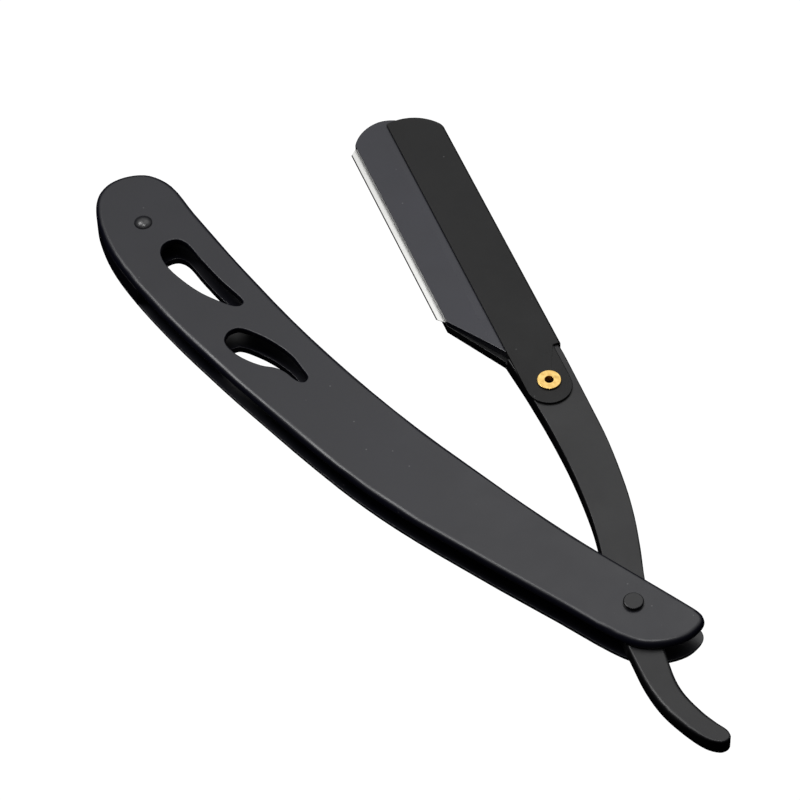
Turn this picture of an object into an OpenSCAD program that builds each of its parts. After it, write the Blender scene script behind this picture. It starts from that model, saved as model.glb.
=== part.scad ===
// Folding barber razor for half blades. Two curved scales hold a blade arm on a pivot rivet.
// The arm ends in a pair of jaws that grip a half blade, and a folded cover swings over their
// spine to lock them.
// Frame: Z is the pivot axis, Z = 0 is the plane of the rear rivet heads, the butt is at -X.
// Each part of the arm is drawn along the handle and then turned out to the open angle.

/* [Handle] */
// Distance from the pivot rivet to the butt rivet
rivet_span = 108.2; // [107:0.2:110]
// Thickness of each scale
scale_t = 1.3; // [1:0.1:1.6]
// Clear gap between the scales
scale_gap = 3.4; // [3.4:0.1:4]
// Rounding of the outer edges of the scales
scale_round = 1.0; // [0.4:0.1:1]
// Height of the rivet heads over the scales
head_h = 0.6; // [0.4:0.1:0.9]

/* [Blade arm] */
// Angle between the handle and the arm in the open position
open_angle = 23.5; // [8:0.5:120]
// Thickness of the fixed rear jaw
rear_jaw_t = 1.65; // [1.5:0.05:1.7]
// Thickness of the front jaw along the spine
front_jaw_t = 1.35; // [1.2:0.05:1.4]
// Drop of the bevelled front jaw from the spine side to the blade
bevel_drop = 0.4; // [0.2:0.1:0.6]

/* [Blade] */
// Length of the cutting edge
edge_len = 37.8; // [37:0.1:38.5]
// Length of the blade over its end tabs
blade_len = 43; // [42.5:0.1:43.5]
// Depth of the half blade, from the cutting edge to the snapped edge
blade_depth = 11; // [10.5:0.1:11.5]
// Thickness of the blade
blade_t = 0.1; // [0.08:0.01:0.12]
// Width of blade that shows beside the jaws
exposure = 1.15; // [0.6:0.05:1.6]

/* [Lock cover] */
// Thickness of the cover sheet
cover_t = 0.4; // [0.3:0.05:0.5]
// Angle that the cover is swung off the jaws
cover_angle = 0; // [0:5:100]

/* [Rivets] */
// Diameter of the pivot pin
pivot_d = 2.2; // [1.8:0.1:2.6]
// Diameter of the pivot rivet's heads
pivot_head_d = 3.15; // [3:0.05:4.4]
// Diameter of the butt rivet's heads
butt_head_d = 3.0; // [2.6:0.1:4]
// Outer diameter of the eyelet's tube
eyelet_d = 2.6; // [2.2:0.1:2.8]
// Bore of the eyelet
eyelet_bore = 1.4; // [1:0.1:1.6]
// Diameter of the eyelet's flange
eyelet_flange_d = 3.85; // [3.4:0.05:4.2]

/* [Hidden] */

$fn = 64;
eps = 0.02;              // overshoot of a cutter past the face that it opens
run_fit = 0.03;          // radial clearance of a turning pin
face_fit = 0.02;         // clearance between flat faces that slide on each other

// Levels from the table up
z_rear = head_h;                       // outer face of the rear scale
z_gap_low = z_rear + scale_t;          // floor of the gap
z_gap_high = z_gap_low + scale_gap;    // roof of the gap
z_front = z_gap_high + scale_t;        // outer face of the front scale
z_mid = (z_gap_low + z_gap_high) / 2;
z_seat = z_mid + 0.15;                 // face of the rear jaw that the blade lies on
z_jaw_low = z_seat - rear_jaw_t;       // the tang is flush with the closed jaws
z_jaw_high = z_seat + front_jaw_t;
z_cover_low = z_jaw_low - face_fit - cover_t;
z_cover_high = z_jaw_high + face_fit + cover_t;

washer_gap = 0.05;                     // play between each pivot washer and the tang
washer_d = 5.6;
butt_pin_d = 2;
pivot_head_round = 0.25;               // rounding of the flat pivot heads

butt_at = [-rivet_span, 0];
eye = [-45.05, 5.05];                  // eyelet, in the arm's own frame
jaw_edge = -5.05;                      // blade side of both jaws
jaw_spine = 9.24;                      // spine side of both jaws
edge_y = jaw_edge - exposure;          // line of the cutting edge
blade_mid = -83.5;                     // middle of the blade's length
neck_x = -51;                          // shoulder where the tang narrows into the jaws
shoulder_gap = 0.3;                    // from the end of the fold to the front jaw's shoulder
recess_x = -51.75;                     // end of the recess that holds the front jaw
cover_side = 1.1;                      // blade side of the cover
cover_spine = jaw_spine + 0.1 + cover_t;
cover_end_at = [-44.3, 4.75];          // centre of the cover's rounded end
cover_end = cover_end_at[1] - cover_side;
pad_r = 3.3;                           // end of the front jaw round the eyelet
fold_start = -51.6;                    // lower end of the cover's fold
toe_centre = [-98, 3];                 // centre of the toe arc of the cover
toe_r = 7.6;
jaw_toe_centre = [-100.65, 0.15];      // centre of the toe arc of the jaws
jaw_toe_r = 6.0;
heel_x = -62.9;                        // heel of the jaws at the blade side
pin_pitch = 22;                        // distance between the two blade pins
pin_y = 4.3;
pin_d = 2;
stud_at = [-56.5, 5.05];               // stud that keeps the jaws in line
stud_d = 2;

steps = 4;                             // points drawn between two key points of an outline
arc_steps = 3;                         // steps across a rounded edge

// Key points of the scales, from the tip along the upper edge to the butt and back
SCALE_KEYS = [
    [8.4, 5.9], [6, 5.8], [-4, 4.45], [-16, 2.97], [-32, 1.9], [-52, 1.4], [-72, 2.48],
    [-90, 4.88], [-104, 7.42], [-111, 8.86], [-115.3, 7.95], [-117.7, 5.45], [-118.75, 2.2],
    [-118.1, -0.85], [-116.1, -3.2], [-113.05, -5.3], [-108, -7.6], [-102, -9.2],
    [-94, -10.55], [-84, -11.65], [-70, -12.54], [-50, -13.05], [-38, -12.4], [-22, -10.15],
    [-8, -7.73], [1, -6.26], [5.6, -4.78], [8.5, -1.98], [10.07, 1.2], [10.15, 3.95],
    [9.6, 5.25]];

// Key points of the two cut-outs near the butt
UPPER_CUT = [
    [-101.75, 1.25], [-102.4, 0], [-102.3, -1.35], [-101, -2.7], [-98.3, -3.6],
    [-94.5, -3.82], [-90.8, -3.55], [-87.2, -2.65], [-85.2, -1.9], [-84.4, -1.15],
    [-84.5, -0.3], [-85.5, 0.05], [-90.3, 0.35], [-95.9, 1.15], [-98.9, 1.75], [-100.5, 1.8]];
LOWER_CUT = [
    [-81.05, -4.45], [-81.6, -5.55], [-81.5, -6.7], [-80.65, -7.85], [-78.6, -8.35],
    [-75.8, -8.05], [-73, -7.1], [-71.1, -5.9], [-69.4, -5.45], [-66.9, -5.4],
    [-65.85, -4.8], [-66.1, -3.8], [-67.7, -3.25], [-71.4, -2.5], [-75.7, -2.75],
    [-79.2, -3.6]];

// Key points of the tang: tip of the tail, spine side up to the neck, blade side back
TANG_KEYS = [
    [26.95, 3.5], [26.35, 4.2], [25.1, 4.2], [23.3, 3.32], [20.7, 2.25], [17.2, 1.2],
    [14.2, 0.9], [10.5, 1.22], [6, 1.85], [1, 2.7], [-4.5, 3.85], [-10, 5.52], [-16, 7.1],
    [-22, 8.2], [-31, 9.15], [-39, 9.36], [-46, 9.45], [-51, 9.45], [-56, 8.9],
    [-56, 1.4], [-53.5, 0.7], [-50.5, 0.82], [-45, 1.27], [-36, 1.65], [-27, 1.57],
    [-18, 0.82], [-12, -0.25], [-7, -1.4], [-2, -2.7], [3, -3.35], [8, -3.57], [12.5, -3.7],
    [16.5, -3.33], [19.7, -2.47], [22.9, -1.05], [25.5, 0.58], [26.9, 2.3]];
tang_round = 0.3;                      // edge rounding of the shank
tail_round = 0.85;                     // edge rounding of the tail
tip_round = 0.35;                      // edge rounding at the tip of the tail
tail_span = [4, 16, 21, 26];           // where the rounding starts to grow and to shrink

// ---- Outlines ---------------------------------------------------------------------------

function wrap(list, i) = list[(i + len(list)) % len(list)];

// Direction of a loop at key point i, weighted by the length of its two neighbours
function tangent(p, i) =
    let (back = wrap(p, i) - wrap(p, i - 1), ahead = wrap(p, i + 1) - wrap(p, i))
    (back + ahead) / (norm(back) + norm(ahead));

function hermite(a, b, ta, tb, u) =
    let (h = norm(b - a), v = u * u, w = u * u * u)
    a * (2 * w - 3 * v + 1) + ta * h * (w - 2 * v + u)
    + b * (3 * v - 2 * w) + tb * h * (w - v);

// Smooth closed loop through key points
function smooth_loop(p) =
    [for (i = [0 : len(p) - 1], k = [0 : steps - 1])
        hermite(p[i], wrap(p, i + 1), tangent(p, i), tangent(p, i + 1), k / steps)];

// Loop moved inwards by a distance for each point; the loop runs counter-clockwise
function inset(p, by) =
    [for (i = [0 : len(p) - 1]) let (t = tangent(p, i)) p[i] + by[i] * [-t[1], t[0]] / norm(t)];

// One ring of a rounded edge: the angle is 0 on the side wall and 90 on the face
function edge_ring(p, r, angle, z_face, up) =
    let (flat = inset(p, [for (q = r) q * (1 - cos(angle))]))
    [for (i = [0 : len(p) - 1]) [flat[i][0], flat[i][1], z_face - up * r[i] * (1 - sin(angle))]];

function rightmost(p) = search(max([for (q = p) q[0]]), [for (q = p) q[0]])[0];

// Triangles that fill a counter-clockwise loop: a points up the upper side and b points back
// along the lower side have been joined, and the side that lags behind is joined next
function zip_cap(p, n, start, a, b) =
    a + b >= n - 1 ? [] :
    let (i = (start + a) % n, j = (start - b + n) % n,
         up = (i + 1) % n, down = (j - 1 + n) % n)
    p[up][0] > p[down][0] ? concat([[i, up, j]], zip_cap(p, n, start, a + 1, b))
                          : concat([[i, down, j]], zip_cap(p, n, start, a, b + 1));

// Solid between two levels, with its upper and, if wanted, lower edge rounded
module rounded_slab(p, r, low, high, both) {
    count = len(p);
    angles = [for (k = [0 : arc_steps]) 90 * k / arc_steps];
    top = [for (a = angles) edge_ring(p, r, a, high, 1)];
    rounded = [for (k = [arc_steps : -1 : 0]) edge_ring(p, r, angles[k], low, -1)];
    square_edge = [[for (q = p) [q[0], q[1], low]]];
    rings = concat(both ? rounded : square_edge, top);
    last = len(rings) - 1;
    sides = [for (j = [0 : last - 1], i = [0 : count - 1])
        let (n = (i + 1) % count, a = j * count, b = a + count)
        each [[a + i, b + n, a + n], [a + i, b + i, b + n]]];
    cap = zip_cap(p, count, rightmost(p), 0, 1);
    lid = [for (t = cap) last * count * [1, 1, 1] + [t[2], t[1], t[0]]];
    polyhedron(points = [for (ring = rings) each ring], faces = concat(sides, cap, lid));
}

function arc_points(centre, r, from, to, count) =
    [for (k = [0 : count])
        let (a = from + (to - from) * k / count) centre + r * [cos(a), sin(a)]];

function scale_loop() = smooth_loop([for (k = SCALE_KEYS) [k[0] < -60 ? k[0] + 108.2 - rivet_span
                                                                      : k[0], k[1]]]);

module slab(low, high) {
    translate([0, 0, low]) linear_extrude(height = high - low) children();
}

module bore(at, d, low, high) {
    translate([at[0], at[1], low - eps]) cylinder(h = high - low + 2 * eps, d = d);
}

// Turns the arm, drawn along the handle, out to its open angle
module on_arm() {
    rotate([0, 0, -open_angle]) children();
}

// ---- Handle -----------------------------------------------------------------------------

module cut_outs() {
    shift = 108.2 - rivet_span;
    translate([shift, 0]) polygon(smooth_loop(UPPER_CUT));
    translate([shift, 0]) polygon(smooth_loop(LOWER_CUT));
}

module scale_plate() {
    loop = scale_loop();
    difference() {
        rounded_slab(loop, [for (q = loop) scale_round], 0, scale_t, false);
        slab(-eps, scale_t + eps) cut_outs();
        bore([0, 0], pivot_d, 0, scale_t);
        bore(butt_at, butt_pin_d, 0, scale_t);
    }
}

module front_scale() {
    color([0.17, 0.17, 0.18]) translate([0, 0, z_gap_high]) scale_plate();
}

module rear_scale() {
    color([0.17, 0.17, 0.18]) translate([0, 0, z_gap_low]) mirror([0, 0, 1]) scale_plate();
}

// Wedge that keeps the scales apart at the butt; its inner end clears the toe of the jaws
module butt_spacer() {
    cut = [[-130, 20], [-116.7, 20], [-98, -12], [-98, -20], [-130, -20]];
    color([0.14, 0.14, 0.15]) slab(z_gap_low, z_gap_high) difference() {
        intersection() {
            polygon(scale_loop());
            translate([108.2 - rivet_span, 0]) polygon(cut);
        }
        translate(butt_at) circle(d = butt_pin_d);
    }
}

// Half section of a rivet: a shaft with a domed head on each end
module butt_rivet() {
    r = butt_head_d / 2;
    h = head_h;
    dome = (r * r + h * h) / (2 * h);
    color([0.2, 0.2, 0.21]) translate([butt_at[0], butt_at[1], 0]) rotate_extrude() {
        translate([0, z_rear]) square([butt_pin_d / 2, z_front - z_rear]);
        intersection() {
            translate([0, z_front]) square([r, h]);
            translate([0, z_front + h - dome]) circle(r = dome);
        }
        intersection() {
            translate([0, z_rear - h]) square([r, h]);
            translate([0, z_rear - h + dome]) circle(r = dome);
        }
    }
}

// Half section of a flat head with a rounded rim, standing on the line y = 0
module flat_head_section(d, h, rim) {
    square([d / 2 - rim, h]);
    square([d / 2, h - rim]);
    translate([d / 2 - rim, h - rim]) intersection() {
        circle(r = rim);
        square(rim);
    }
}

module pivot_rivet() {
    color([0.2, 0.2, 0.21]) rotate_extrude() {
        translate([0, z_rear]) square([pivot_d / 2, z_front - z_rear]);
        translate([0, z_front]) flat_head_section(pivot_head_d, head_h, pivot_head_round);
        translate([0, z_rear]) mirror([0, 1])
            flat_head_section(pivot_head_d, head_h, pivot_head_round);
    }
}

// Washer between a scale and the tang, with a little play on the side of the tang
module pivot_washer(low, high) {
    color([0.55, 0.55, 0.56]) slab(low, high) difference() {
        circle(d = washer_d);
        circle(d = pivot_d);
    }
}

module front_pivot_washer() {
    pivot_washer(z_jaw_high + washer_gap, z_gap_high);
}

module rear_pivot_washer() {
    pivot_washer(z_gap_low, z_jaw_low - washer_gap);
}

// ---- Blade arm --------------------------------------------------------------------------

// Outline that both jaws share, from the spine side round the toe to the heel
function jaw_points(heel) =
    concat([[fold_start - shoulder_gap, jaw_spine]],
           arc_points(toe_centre, toe_r - cover_t, 123, 168, 6),
           arc_points(jaw_toe_centre, jaw_toe_r, 135, 240, 16), [[heel, jaw_edge]]);

// The front jaw narrows to a pad round the eyelet
module front_jaw_outline() {
    pad = arc_points(eye, pad_r, -90, 90, 16);
    shoulder = [[fold_start - shoulder_gap, eye[1] + pad_r]];
    heel = [[-53.3, cover_side], [-52.4, eye[1] - pad_r]];
    polygon(concat(pad, shoulder, jaw_points(heel_x), heel));
}

// The rear jaw runs on into the tang
module rear_jaw_outline() {
    end = [[-52.2, 0.85], [neck_x + 1, 1.2]];
    polygon(concat([[neck_x + 1, jaw_spine]], jaw_points(heel_x + 0.15), end));
}

module pin_places() {
    for (side = [-1, 1]) translate([blade_mid + side * pin_pitch / 2, pin_y]) children();
}

function ramp(x, from, to) = min(1, max(0, (x - from) / (to - from)));

function tail_rounding(x) =
    tang_round + (tail_round - tang_round) * ramp(x, tail_span[0], tail_span[1])
    - (tail_round - tip_round) * ramp(x, tail_span[2], tail_span[3]);

// Tang, tail and rear jaw are one forging; the front jaw lies in the recess
module tang() {
    loop = smooth_loop(TANG_KEYS);
    radii = [for (q = loop) tail_rounding(q[0])];
    color([0.2, 0.2, 0.21]) on_arm() difference() {
        union() {
            rounded_slab(loop, radii, z_jaw_low, z_jaw_high, true);
            slab(z_jaw_low, z_seat) rear_jaw_outline();
        }
        slab(z_seat, z_jaw_high + eps) {
            recess = pad_r + 0.15;
            translate(eye) circle(r = recess);
            translate([recess_x, eye[1] - recess]) square([eye[0] - recess_x, 2 * recess]);
            translate([-70, -10]) square([70 + recess_x, 10 + jaw_spine + 1]);
        }
        slab(z_jaw_low - eps, z_jaw_high + eps)
            translate([-70, jaw_spine]) square([70 + neck_x, 3]);
        bore([0, 0], pivot_d + 2 * run_fit, z_jaw_low, z_jaw_high);
        bore(eye, eyelet_d, z_jaw_low, z_jaw_high);
        bore(stud_at, stud_d, z_jaw_low, z_seat);
        pin_places() translate([0, 0, z_jaw_low - eps])
            cylinder(h = rear_jaw_t + 2 * eps, d = pin_d);
    }
}

// Bevelled spring leaf that presses the blade on to the rear jaw
module front_jaw() {
    bevel_from = [-105.65, 0.3];       // upper end of the bevel line
    bevel_to = [-57.2, -0.4];          // lower end of the bevel line
    run = bevel_to - bevel_from;
    width = bevel_to[1] - jaw_edge;
    color([0.23, 0.23, 0.26]) on_arm() difference() {
        slab(z_seat, z_jaw_high) front_jaw_outline();
        translate([bevel_to[0], bevel_to[1], z_jaw_high])
            rotate([0, 0, atan2(run[1], run[0])]) rotate([atan(bevel_drop / width), 0, 0])
            translate([-60, -20, 0]) cube([80, 20, 5]);
        slab(z_seat - eps, z_seat + blade_t + face_fit)
            translate([blade_mid - blade_len / 2 - 0.5, jaw_edge - 1])
            square([blade_len + 1, edge_y + blade_depth + 0.4 - jaw_edge + 1]);
        bore(eye, eyelet_d, z_seat, z_jaw_high);
        bore(stud_at, stud_d + 0.1, z_seat, z_jaw_high);
        pin_places() translate([0, 0, z_seat - eps])
            cylinder(h = front_jaw_t + 2 * eps, d = pin_d + 0.2);
    }
}

// Half of a double-edge blade, snapped along its middle slot
module half_blade() {
    half_edge = edge_len / 2;
    half_tab = blade_len / 2;
    corner = 1.1;                      // size of the cut corners beside the edge
    tab_y = edge_y + 3.4;
    back = edge_y + blade_depth;
    side = [[half_edge, edge_y], [half_edge + corner, edge_y + corner],
            [half_edge + corner, tab_y], [half_tab, tab_y + 0.6], [half_tab, back]];
    other = [for (i = [len(side) - 1 : -1 : 0]) [-side[i][0], side[i][1]]];
    color([0.86, 0.87, 0.88]) on_arm() slab(z_seat, z_seat + blade_t)
        translate([blade_mid, 0]) difference() {
            polygon(concat(side, other));
            translate([-14, back - 1]) square([28, 1 + eps]);
            for (x = [-1, 0, 1]) translate([x * pin_pitch / 2, back]) circle(d = 4);
        }
}

module blade_pins() {
    color([0.7, 0.7, 0.72]) on_arm() pin_places() translate([0, 0, z_jaw_low])
        cylinder(h = z_jaw_high - 0.2 - z_jaw_low, d = pin_d);
}

module jaw_stud() {
    color([0.7, 0.7, 0.72]) on_arm() translate([stud_at[0], stud_at[1], z_jaw_low])
        cylinder(h = z_jaw_high - z_jaw_low, d = stud_d);
}

flange_t = 0.3;                        // thickness of the eyelet's flange
eyelet_washer_t = 0.25;
eyelet_washer_d = 4.6;

// Hollow rivet: a flange in front, a tube, and an end rolled over the rear washer
module eyelet() {
    low = z_cover_low - face_fit - eyelet_washer_t;
    high = z_cover_high + face_fit;
    wall = (eyelet_d - eyelet_bore) / 2;
    roll_r = (eyelet_flange_d - 0.3 - eyelet_bore) / 4;
    color([0.85, 0.68, 0.32]) on_arm() translate([eye[0], eye[1], 0]) rotate_extrude() {
        translate([eyelet_bore / 2, low - flange_t]) square([wall, high + 2 * flange_t - low]);
        translate([eyelet_d / 2 - eps, high])
            square([(eyelet_flange_d - eyelet_d) / 2 - flange_t / 2 + eps, flange_t]);
        translate([eyelet_flange_d / 2 - flange_t / 2, high + flange_t / 2])
            circle(d = flange_t);
        intersection() {
            translate([eyelet_bore / 2 + roll_r, low]) circle(r = roll_r);
            translate([0, low - flange_t]) square([eyelet_flange_d, flange_t]);
        }
    }
}

module eyelet_washer() {
    low = z_cover_low - face_fit - eyelet_washer_t;
    color([0.78, 0.62, 0.3]) on_arm() slab(low, low + eyelet_washer_t)
        translate(eye) difference() {
            circle(d = eyelet_washer_d);
            circle(d = eyelet_d);
        }
}

// ---- Lock cover -------------------------------------------------------------------------

// Outline of one wall of the cover, with its round end at the eyelet
module cover_outline(end_at, end_r) {
    translate(end_at) circle(r = end_r);
    translate([fold_start, end_at[1] - end_r]) square([end_at[0] - fold_start, 2 * end_r]);
    translate([toe_centre[0], cover_side])
        square([fold_start - toe_centre[0], cover_spine - cover_side]);
    intersection() {
        translate(toe_centre) circle(r = toe_r);
        translate([-120, cover_side]) square([60, cover_spine - cover_side]);
    }
}

// Section of the folded sheet: two flat walls joined by a rounded fold at the spine
module fold_section(width, height, corner, left) {
    translate([left, -height / 2]) square([width - corner - left, height]);
    translate([left, corner - height / 2]) square([width - left, height - 2 * corner]);
    for (side = [-1, 1])
        translate([width - corner, side * (height / 2 - corner)]) circle(r = corner);
}

module lock_cover() {
    inner = z_jaw_high - z_jaw_low + 2 * face_fit;
    middle = (z_jaw_high + z_jaw_low) / 2;
    fold_r = 0.12;                     // inner radius of the fold's corners
    left = -8;                         // open side of the fold, well clear of the outline
    color([0.13, 0.13, 0.135]) on_arm()
        translate([eye[0], eye[1], 0]) rotate([0, 0, -cover_angle])
        translate([-eye[0], -eye[1], 0]) difference() {
            intersection() {
                union() {
                    slab(middle, z_cover_high + 1) cover_outline(cover_end_at, cover_end);
                    slab(z_cover_low - 1, middle) cover_outline(eye, pad_r);
                }
                translate([-120, 0, middle]) rotate([90, 0, 90])
                    linear_extrude(height = 90) difference() {
                        fold_section(cover_spine, inner + 2 * cover_t, fold_r + cover_t, left);
                        fold_section(cover_spine - cover_t, inner, fold_r, left - 1);
                    }
            }
            bore(eye, eyelet_d + 2 * run_fit, z_cover_low, z_cover_high);
        }
}

front_scale();
rear_scale();
butt_spacer();
butt_rivet();
pivot_rivet();
front_pivot_washer();
rear_pivot_washer();
tang();
front_jaw();
half_blade();
blade_pins();
jaw_stud();
eyelet();
eyelet_washer();
lock_cover();
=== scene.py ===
"""Look of the folding barber razor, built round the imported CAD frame. All lengths are in metres."""
import math

import bmesh
import bpy
from mathutils import Matrix, Vector

MM = 0.001
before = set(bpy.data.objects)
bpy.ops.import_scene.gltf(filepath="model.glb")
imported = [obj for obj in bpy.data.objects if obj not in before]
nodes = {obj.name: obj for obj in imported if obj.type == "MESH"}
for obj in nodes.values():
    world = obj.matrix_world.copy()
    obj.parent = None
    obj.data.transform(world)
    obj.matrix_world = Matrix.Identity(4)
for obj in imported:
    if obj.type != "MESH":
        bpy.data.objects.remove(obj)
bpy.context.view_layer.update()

OPEN_ANGLE = math.radians(23.5)        # arm out of the handle in the rest pose


# ---- Edges of the CAD nodes -----------------------------------------------------------------

WELD_GAP = 0.002 * MM
FLAT_ANGLE = math.radians(0.6)         # triangles that turn by less are merged to one face
SMALL_PARTS = {                        # width of the rounding, in mm
    "eyelet": 0.05,
    "eyelet_washer": 0.04,
    "blade_pins": 0.08,
    "jaw_stud": 0.10,
    "front_pivot_washer": 0.05,
    "rear_pivot_washer": 0.05,
    "pivot_rivet": 0.03,
    "butt_rivet": 0.05,
}


def soften(node, width, segments=2, angle=50, crease=None):
    """Rounds the edges of a CAD node that turn by more than the angle. The width is in mm.

    The large faces stay flat in the shading. Edges that turn by more than the crease stay sharp."""
    obj = nodes[node]
    obj.data.shade_smooth()
    weld = obj.modifiers.new("weld", "WELD")
    weld.merge_threshold = WELD_GAP
    flat = obj.modifiers.new("merge_flat", "DECIMATE")
    flat.decimate_type = "DISSOLVE"
    flat.angle_limit = FLAT_ANGLE
    bevel = obj.modifiers.new("edge_rounding", "BEVEL")
    bevel.width = width * MM
    bevel.segments = segments
    bevel.limit_method = "ANGLE"
    bevel.angle_limit = math.radians(angle)
    bevel.use_clamp_overlap = False
    bevel.miter_outer = "MITER_ARC"
    if crease is not None:
        split = obj.modifiers.new("keep_crease", "EDGE_SPLIT")
        split.split_angle = math.radians(crease)
    normals = obj.modifiers.new("flat_faces", "WEIGHTED_NORMAL")
    normals.keep_sharp = True


soften("front_scale", 0.22, segments=4)
soften("rear_scale", 0.08)
soften("butt_spacer", 0.12, segments=3, angle=30)
soften("tang", 0.06)
soften("front_jaw", 0.08, angle=30, crease=3)
soften("lock_cover", 0.12, segments=3, angle=35)
for small_part, rounding in SMALL_PARTS.items():
    soften(small_part, rounding, angle=40)


# ---- Materials ------------------------------------------------------------------------------

# Fineness of the patterns, in cells per metre
CLOUDS = 55
SMEARS = 140
SPECKS = 420
WORN_PATCHES = 900
TARNISH = 1400
ORANGE_PEEL = 2600
BRASS_GRAIN = 4500
COAT_GRAIN = 9000
GRINDING = (400, 26000, 4000)          # along the lines, across them, and through

PEEL_RELIEF = 0.02 * MM
COAT_RELIEF = 0.008 * MM
BRASS_RELIEF = 0.01 * MM
LINE_RELIEF = 0.004 * MM

MIDDLE = (0.3, 0.7)                    # span that nearly all of a noise pattern falls in
SMEAR_CHANGE = 0.06                    # of the roughness, either way
DUST = (0.13, 0.13, 0.135)
DUST_COVER = 0.55                      # how much of the coat's colour a speck hides
SPECK_SIZE = (0.03, 0.07)              # from a cell's middle: full speck, and its end
SPECK_CELLS = (0.56, 0.6)              # only cells that are brighter than this hold one
WORN = (0.06, 0.06, 0.062)
WEAR_COVER = 0.5
WEAR_RADIUS = 0.25 * MM                # how far from an edge the coat is worn
WEAR_TURN = (0.98, 0.86)               # cosine of the turn at the edge: no wear, and full wear
WEAR_PATCH = (0.52, 0.62)              # of the noise: sound coat, and worn coat
LINE_TONES = (0.25, 0.75)              # of the lines: darker metal, and lighter metal
LINE_SHADE = 0.86                      # the darker steel, as a share of the lighter
# colour of the painted shade: a dark line painted along the blade's ground edge
PAINTED_EDGE_SHADE = (0.02, 0.02, 0.02)
EDGE_SHADE_END = -6.06 * MM                 # across the arm: painted shade darkens the blade from its edge to here
EDGE_SHADE_FADE = 0.07 * MM                  # and silver from this much further in
MIX_A, MIX_B, MIX_RESULT = 6, 7, 2     # places of the colour sockets on a Mix node


class Shading:
    """The node tree of a new material, with a short call for each kind of node."""

    def __init__(self, name):
        self.material = bpy.data.materials.new(name)
        self.material.use_nodes = True
        self.tree = self.material.node_tree
        self.shader = self.tree.nodes["Principled BSDF"]
        self.coord = self.add("ShaderNodeTexCoord").outputs["Object"]

    def add(self, kind, **props):
        node = self.tree.nodes.new(kind)
        for key, value in props.items():
            setattr(node, key, value)
        return node

    def link(self, source, target):
        self.tree.links.new(source, target)

    def feed(self, source, socket):
        """Links a value to a socket of the shader."""
        self.link(source, self.shader.inputs[socket])

    def stretched(self, scale, turn=0.0):
        mapping = self.add("ShaderNodeMapping")
        mapping.inputs["Rotation"].default_value = (0, 0, turn)
        mapping.inputs["Scale"].default_value = scale
        self.link(self.coord, mapping.inputs["Vector"])
        return mapping.outputs["Vector"]

    def noise(self, scale, detail, rough=0.55, vector=None):
        noise = self.add("ShaderNodeTexNoise")
        noise.inputs["Scale"].default_value = scale
        noise.inputs["Detail"].default_value = detail
        noise.inputs["Roughness"].default_value = rough
        self.link(vector or self.coord, noise.inputs["Vector"])
        return noise.outputs["Fac"]

    def spread(self, value, span, result):
        """Maps one span of values to another, and holds it at both ends."""
        change = self.add("ShaderNodeMapRange")
        change.inputs["From Min"].default_value, change.inputs["From Max"].default_value = span
        change.inputs["To Min"].default_value, change.inputs["To Max"].default_value = result
        self.link(value, change.inputs["Value"])
        return change.outputs["Result"]

    def ramp(self, value, span, colours):
        """Goes from the first colour to the second over a span of values."""
        ramp = self.add("ShaderNodeValToRGB")
        for element, place, colour in zip(ramp.color_ramp.elements, span, colours):
            element.position = place
            element.color = (*colour, 1)
        self.link(value, ramp.inputs["Fac"])
        return ramp.outputs["Color"]

    def product(self, first, second):
        times = self.add("ShaderNodeMath", operation="MULTIPLY")
        self.link(first, times.inputs[0])
        self.link(second, times.inputs[1])
        return times.outputs[0]

    def mix(self, factor, base, colour):
        """Lays a fixed colour over a linked one, as far as the factor says."""
        mix = self.add("ShaderNodeMix", data_type="RGBA")
        self.link(factor, mix.inputs["Factor"])
        self.link(base, mix.inputs[MIX_A])
        mix.inputs[MIX_B].default_value = (*colour, 1)
        return mix.outputs[MIX_RESULT]

    def bump(self, height, strength, distance, normal=None):
        bump = self.add("ShaderNodeBump")
        bump.inputs["Strength"].default_value = strength
        bump.inputs["Distance"].default_value = distance
        self.link(height, bump.inputs["Height"])
        if normal is not None:
            self.link(normal, bump.inputs["Normal"])
        return bump.outputs["Normal"]


def dust_specks(shading):
    """How far a few tiny specks of dust cover the coat."""
    cells = shading.add("ShaderNodeTexVoronoi")
    cells.inputs["Scale"].default_value = SPECKS
    cells.inputs["Randomness"].default_value = 1
    shading.link(shading.coord, cells.inputs["Vector"])
    near_middle = shading.spread(cells.outputs["Distance"], SPECK_SIZE, (1, 0))
    few_of_them = shading.spread(cells.outputs["Color"], SPECK_CELLS, (0, 1))
    specks = shading.product(near_middle, few_of_them)
    return shading.spread(specks, (0, 1), (0, DUST_COVER))


def edge_wear(shading):
    """How far the coat is worn: in patches, where the surface turns at an edge."""
    edge = shading.add("ShaderNodeBevel", samples=6)
    edge.inputs["Radius"].default_value = WEAR_RADIUS
    geometry = shading.add("ShaderNodeNewGeometry")
    turn = shading.add("ShaderNodeVectorMath", operation="DOT_PRODUCT")
    shading.link(edge.outputs["Normal"], turn.inputs[0])
    shading.link(geometry.outputs["Normal"], turn.inputs[1])
    at_edge = shading.spread(turn.outputs["Value"], WEAR_TURN, (0, 1))
    patches = shading.spread(shading.noise(WORN_PATCHES, 6, 0.7), WEAR_PATCH, (0, WEAR_COVER))
    return shading.product(at_edge, patches)


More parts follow.
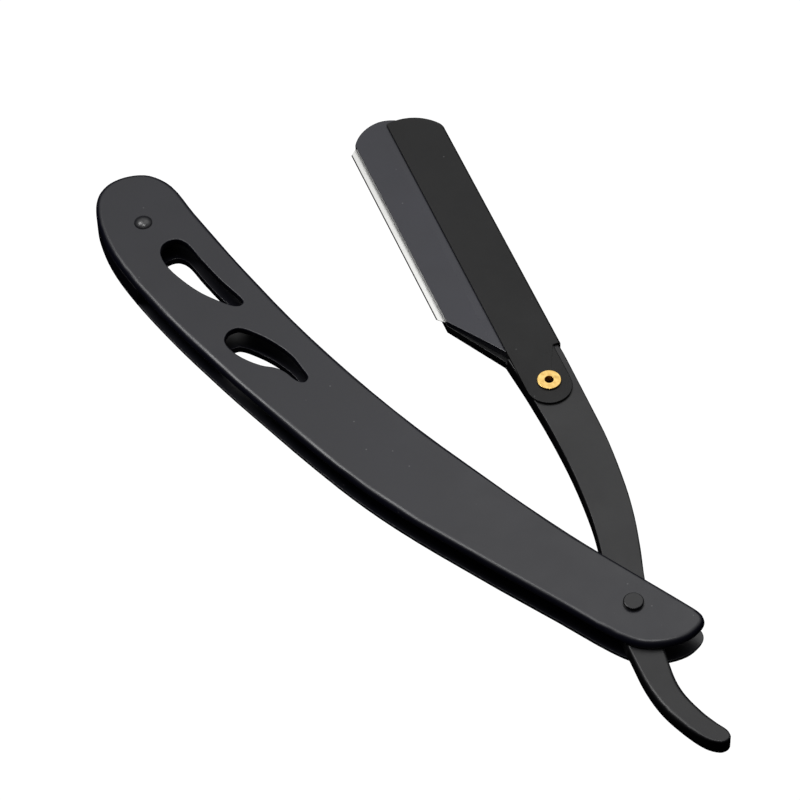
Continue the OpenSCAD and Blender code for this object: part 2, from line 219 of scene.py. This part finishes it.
def black_coat(name, dark, light, rough, gloss):
    """Satin black coat: cloudy tone, fine orange peel, a few dust specks, worn edges."""
    shading = Shading(name)
    clouds = shading.spread(shading.noise(CLOUDS, 5), MIDDLE, (0, 1))
    tone = shading.ramp(clouds, (0, 1), (dark, light))
    dusty = shading.mix(dust_specks(shading), tone, DUST)
    shading.feed(shading.mix(edge_wear(shading), dusty, WORN), "Base Color")
    smears = shading.noise(SMEARS, 8, 0.66)
    roughness = (rough - SMEAR_CHANGE, rough + SMEAR_CHANGE)
    shading.feed(shading.spread(smears, MIDDLE, roughness), "Roughness")
    peel = shading.bump(shading.noise(ORANGE_PEEL, 3, 0.6), 0.10, PEEL_RELIEF)
    grain = shading.noise(COAT_GRAIN, 2, 0.5)
    shading.feed(shading.bump(grain, 0.12, COAT_RELIEF, peel), "Normal")
    shading.shader.inputs["Specular IOR Level"].default_value = gloss
    return shading.material


def grinding_lines(shading, along):
    """Fine lines in one direction, also as relief. The surface is bare metal."""
    lines = shading.noise(1, 3, 0.6, shading.stretched(GRINDING, along))
    shading.feed(shading.bump(lines, 0.15, LINE_RELIEF), "Normal")
    shading.shader.inputs["Metallic"].default_value = 1
    return lines


def ground_steel(name):
    """Steel with fine lines along the handle."""
    shading = Shading(name)
    lines = grinding_lines(shading, 0)
    tint = (0.62, 0.62, 0.64)
    darker = tuple(LINE_SHADE * part for part in tint)
    shading.feed(shading.ramp(lines, LINE_TONES, (darker, tint)), "Base Color")
    shading.feed(shading.spread(lines, MIDDLE, (0.24, 0.38)), "Roughness")
    return shading.material


def blade_metal(name):
    """Polished blade with painted shade: a fine dark line painted where its ground edge turns away
    from the light.
    """
    shading = Shading(name)
    lines = grinding_lines(shading, OPEN_ANGLE)
    silver = shading.ramp(lines, LINE_TONES, ((0.70, 0.70, 0.685), (0.82, 0.82, 0.80)))
    place = shading.add("ShaderNodeSeparateXYZ")
    shading.link(shading.stretched((1, 1, 1), OPEN_ANGLE), place.inputs[0])
    # painted shade: dark line along the cutting edge, where the ground facet turns away from the
    # light
    edge = shading.spread(place.outputs["Y"], (EDGE_SHADE_END, EDGE_SHADE_END + EDGE_SHADE_FADE), (1, 0))
    shading.feed(shading.mix(edge, silver, PAINTED_EDGE_SHADE), "Base Color")
    shading.feed(shading.spread(lines, MIDDLE, (0.26, 0.36)), "Roughness")
    return shading.material


def brass(name):
    """Polished brass with faint tarnish in patches."""
    shading = Shading(name)
    stain = shading.noise(TARNISH, 5, 0.6)
    tones = ((0.62, 0.40, 0.12), (0.78, 0.54, 0.19))
    shading.feed(shading.ramp(stain, (0.35, 0.65), tones), "Base Color")
    shading.feed(shading.spread(stain, MIDDLE, (0.32, 0.2)), "Roughness")
    grain = shading.noise(BRASS_GRAIN, 3)
    shading.feed(shading.bump(grain, 0.12, BRASS_RELIEF), "Normal")
    shading.shader.inputs["Metallic"].default_value = 1
    return shading.material


def paint(obj, material):
    obj.data.materials.clear()
    obj.data.materials.append(material)


scale_coat = black_coat("satin_black_scales", dark=(0.0028, 0.0029, 0.0072),
                        light=(0.0046, 0.0048, 0.0112), rough=0.34, gloss=0.6)
arm_coat = black_coat("satin_black_arm", dark=(0.0032, 0.0032, 0.004),
                      light=(0.005, 0.005, 0.0062), rough=0.38, gloss=0.47)
jaw_coat = black_coat("satin_black_jaw", dark=(0.0082, 0.0086, 0.0165),
                      light=(0.0122, 0.0128, 0.0245), rough=0.36, gloss=0.62)
cover_coat = black_coat("satin_black_cover", dark=(0.0035, 0.0035, 0.0037),
                        light=(0.0055, 0.0055, 0.0058), rough=0.46, gloss=0.31)
rivet_coat = black_coat("satin_black_rivets", dark=(0.0035, 0.0035, 0.0045),
                        light=(0.0055, 0.0055, 0.007), rough=0.3, gloss=0.45)
butt_coat = black_coat("satin_black_butt_rivet", dark=(0.010, 0.0102, 0.0125),
                       light=(0.014, 0.0142, 0.0175), rough=0.3, gloss=0.7)

PAINTED = (
    (scale_coat, ("front_scale", "rear_scale", "butt_spacer")),
    (butt_coat, ("butt_rivet",)),
    (rivet_coat, ("pivot_rivet",)),
    (arm_coat, ("tang",)),
    (jaw_coat, ("front_jaw",)),
    (cover_coat, ("lock_cover",)),
    (blade_metal("blade_steel"), ("half_blade",)),
    (ground_steel("ground_steel"),
     ("blade_pins", "jaw_stud", "front_pivot_washer", "rear_pivot_washer")),
    (brass("polished_brass"), ("eyelet", "eyelet_washer")),
)
for finish, painted in PAINTED:
    for piece in painted:
        paint(nodes[piece], finish)


# ---- Camera ---------------------------------------------------------------------------------

IMAGE_PX = 800
SENSOR_MM = 36
FOCAL_PX = 4200                        # focal length, in pixels of that image
PX_PER_MM = 6.45                       # scale at the point that the camera looks at
DISTANCE = FOCAL_PX / PX_PER_MM * MM
ELEVATION = math.radians(51)
ROLL = math.radians(-2)
TURN = math.radians(46.868)            # from the camera's ground directions to the handle's
AIM = Vector((-52.52, 3.02, 6.6)) * MM  # point of the front face at the image centre


def place_camera():
    """Puts the camera where the photo was taken from and returns the turn of its ground."""
    data = bpy.data.cameras.new("photo_camera")
    data.sensor_width = SENSOR_MM
    data.lens = SENSOR_MM * FOCAL_PX / IMAGE_PX
    data.clip_start = 0.01
    data.clip_end = 20
    camera = bpy.data.objects.new("photo_camera", data)
    bpy.context.scene.collection.objects.link(camera)
    level, rise = math.cos(ELEVATION), math.sin(ELEVATION)
    upright, lean = math.cos(ROLL), math.sin(ROLL)
    right = Vector((upright, rise * lean, lean * level))
    down = Vector((lean, -rise * upright, -upright * level))
    ahead = Vector((0, level, -rise))
    spin = Matrix.Rotation(TURN, 3, "Z")
    axes = Matrix((spin @ right, spin @ -down, spin @ -ahead)).transposed()
    camera.matrix_world = Matrix.Translation(AIM - spin @ ahead * DISTANCE) @ axes.to_4x4()
    bpy.context.scene.camera = camera
    return spin


ground = place_camera()


# ---- Floor and light ------------------------------------------------------------------------

WHITE = 1.05                           # strength that the view shows as plain white
FLOOR_RADIUS = 6
FLOOR_DROP = 0.02 * MM                 # keeps the floor clear of the rivet heads
SKY_STRENGTH = 0.9
HORIZON = (0.05, 0.05, 0.05, 1)
OVERHEAD = (1, 1, 1, 1)
HORIZON_RISE = 0.15                    # the sky is dark below this rise, a sine
OVERHEAD_RISE = 0.7                    # and fully bright above this one
BEYOND = Vector((0, 0.5, 0.866))       # high up on the far side, from the camera
BEYOND_SPAN = (0.45, 0.88)             # cosine to that direction: least light, and all of it
LEAST_LIGHT = 0.04


def glow_material(name):
    """White glow on the front of a face; its back lets the view through."""
    material = bpy.data.materials.new(name)
    material.use_nodes = True
    tree = material.node_tree
    tree.nodes.clear()
    glow = tree.nodes.new("ShaderNodeEmission")
    glow.inputs["Strength"].default_value = WHITE
    out = tree.nodes.new("ShaderNodeOutputMaterial")
    side = tree.nodes.new("ShaderNodeNewGeometry")
    clear = tree.nodes.new("ShaderNodeBsdfTransparent")
    pick = tree.nodes.new("ShaderNodeMixShader")
    tree.links.new(side.outputs["Backfacing"], pick.inputs["Fac"])
    tree.links.new(glow.outputs[0], pick.inputs[1])
    tree.links.new(clear.outputs[0], pick.inputs[2])
    tree.links.new(pick.outputs[0], out.inputs["Surface"])
    return material


def floor():
    """White floor that stays white under the object; it throws no light back on to it."""
    bm = bmesh.new()
    bmesh.ops.create_circle(bm, cap_ends=True, radius=FLOOR_RADIUS, segments=64)
    mesh = bpy.data.meshes.new("floor")
    bm.to_mesh(mesh)
    bm.free()
    obj = bpy.data.objects.new("floor", mesh)
    obj.location.z = -FLOOR_DROP
    bpy.context.scene.collection.objects.link(obj)
    paint(obj, glow_material("white_floor"))
    obj.visible_glossy = False
    obj.visible_diffuse = False
    obj.visible_shadow = False


def sky():
    """Bright overhead and beyond the object, dark near the horizon, below and in front.

    The camera itself sees plain white."""
    world = bpy.data.worlds.new("studio")
    bpy.context.scene.world = world
    world.use_nodes = True
    tree = world.node_tree
    back = tree.nodes["Background"]
    coord = tree.nodes.new("ShaderNodeTexCoord")
    parts = tree.nodes.new("ShaderNodeSeparateXYZ")
    ramp = tree.nodes.new("ShaderNodeValToRGB")
    lowest, highest = ramp.color_ramp.elements
    lowest.position = HORIZON_RISE
    lowest.color = HORIZON
    highest.position = OVERHEAD_RISE
    highest.color = OVERHEAD
    tree.links.new(coord.outputs["Generated"], parts.inputs[0])
    tree.links.new(parts.outputs["Z"], ramp.inputs["Fac"])
    beyond = tree.nodes.new("ShaderNodeVectorMath")
    beyond.operation = "DOT_PRODUCT"
    beyond.inputs[1].default_value = ground @ BEYOND
    tree.links.new(coord.outputs["Generated"], beyond.inputs[0])
    fade = tree.nodes.new("ShaderNodeMapRange")
    fade.inputs["From Min"].default_value, fade.inputs["From Max"].default_value = BEYOND_SPAN
    fade.inputs["To Min"].default_value = LEAST_LIGHT
    tree.links.new(beyond.outputs["Value"], fade.inputs["Value"])
    both = tree.nodes.new("ShaderNodeVectorMath")
    both.operation = "SCALE"
    tree.links.new(ramp.outputs["Color"], both.inputs[0])
    tree.links.new(fade.outputs["Result"], both.inputs["Scale"])
    tree.links.new(both.outputs[0], back.inputs["Color"])
    back.inputs["Strength"].default_value = SKY_STRENGTH
    plain = tree.nodes.new("ShaderNodeBackground")
    plain.inputs["Color"].default_value = OVERHEAD
    plain.inputs["Strength"].default_value = WHITE
    rays = tree.nodes.new("ShaderNodeLightPath")
    pick = tree.nodes.new("ShaderNodeMixShader")
    tree.links.new(rays.outputs["Is Camera Ray"], pick.inputs["Fac"])
    tree.links.new(back.outputs[0], pick.inputs[1])
    tree.links.new(plain.outputs[0], pick.inputs[2])
    tree.links.new(pick.outputs[0], tree.nodes["World Output"].inputs["Surface"])


def softbox(name, aim, bearing, elevation, distance, edge, power):
    """Square light aimed at the object. Bearing 0 is beyond it from the camera, 90 to the right."""
    data = bpy.data.lights.new(name, "AREA")
    data.shape = "RECTANGLE"
    data.size = edge
    data.size_y = edge
    data.energy = power
    lamp = bpy.data.objects.new(name, data)
    side, rise = math.radians(bearing), math.radians(elevation)
    level = math.cos(rise)
    way = ground @ Vector((math.sin(side) * level, math.cos(side) * level, math.sin(rise)))
    lamp.location = Vector(aim) + way * distance
    lamp.rotation_mode = "QUATERNION"
    lamp.rotation_quaternion = way.to_track_quat("Z", "Y")
    bpy.context.scene.collection.objects.link(lamp)


floor()
sky()
softbox("left", (-0.055, 0, 0.004), bearing=300, elevation=60, distance=0.9, edge=0.28, power=2.3)
softbox("top", (-0.03, 0, 0.004), bearing=180, elevation=86, distance=0.9, edge=0.2, power=1.3)
softbox("far_right", (0.02, -0.01, 0.004), bearing=12, elevation=50, distance=0.38, edge=0.2,
        power=0.085)

bpy.context.scene.view_settings.view_transform = "Standard"
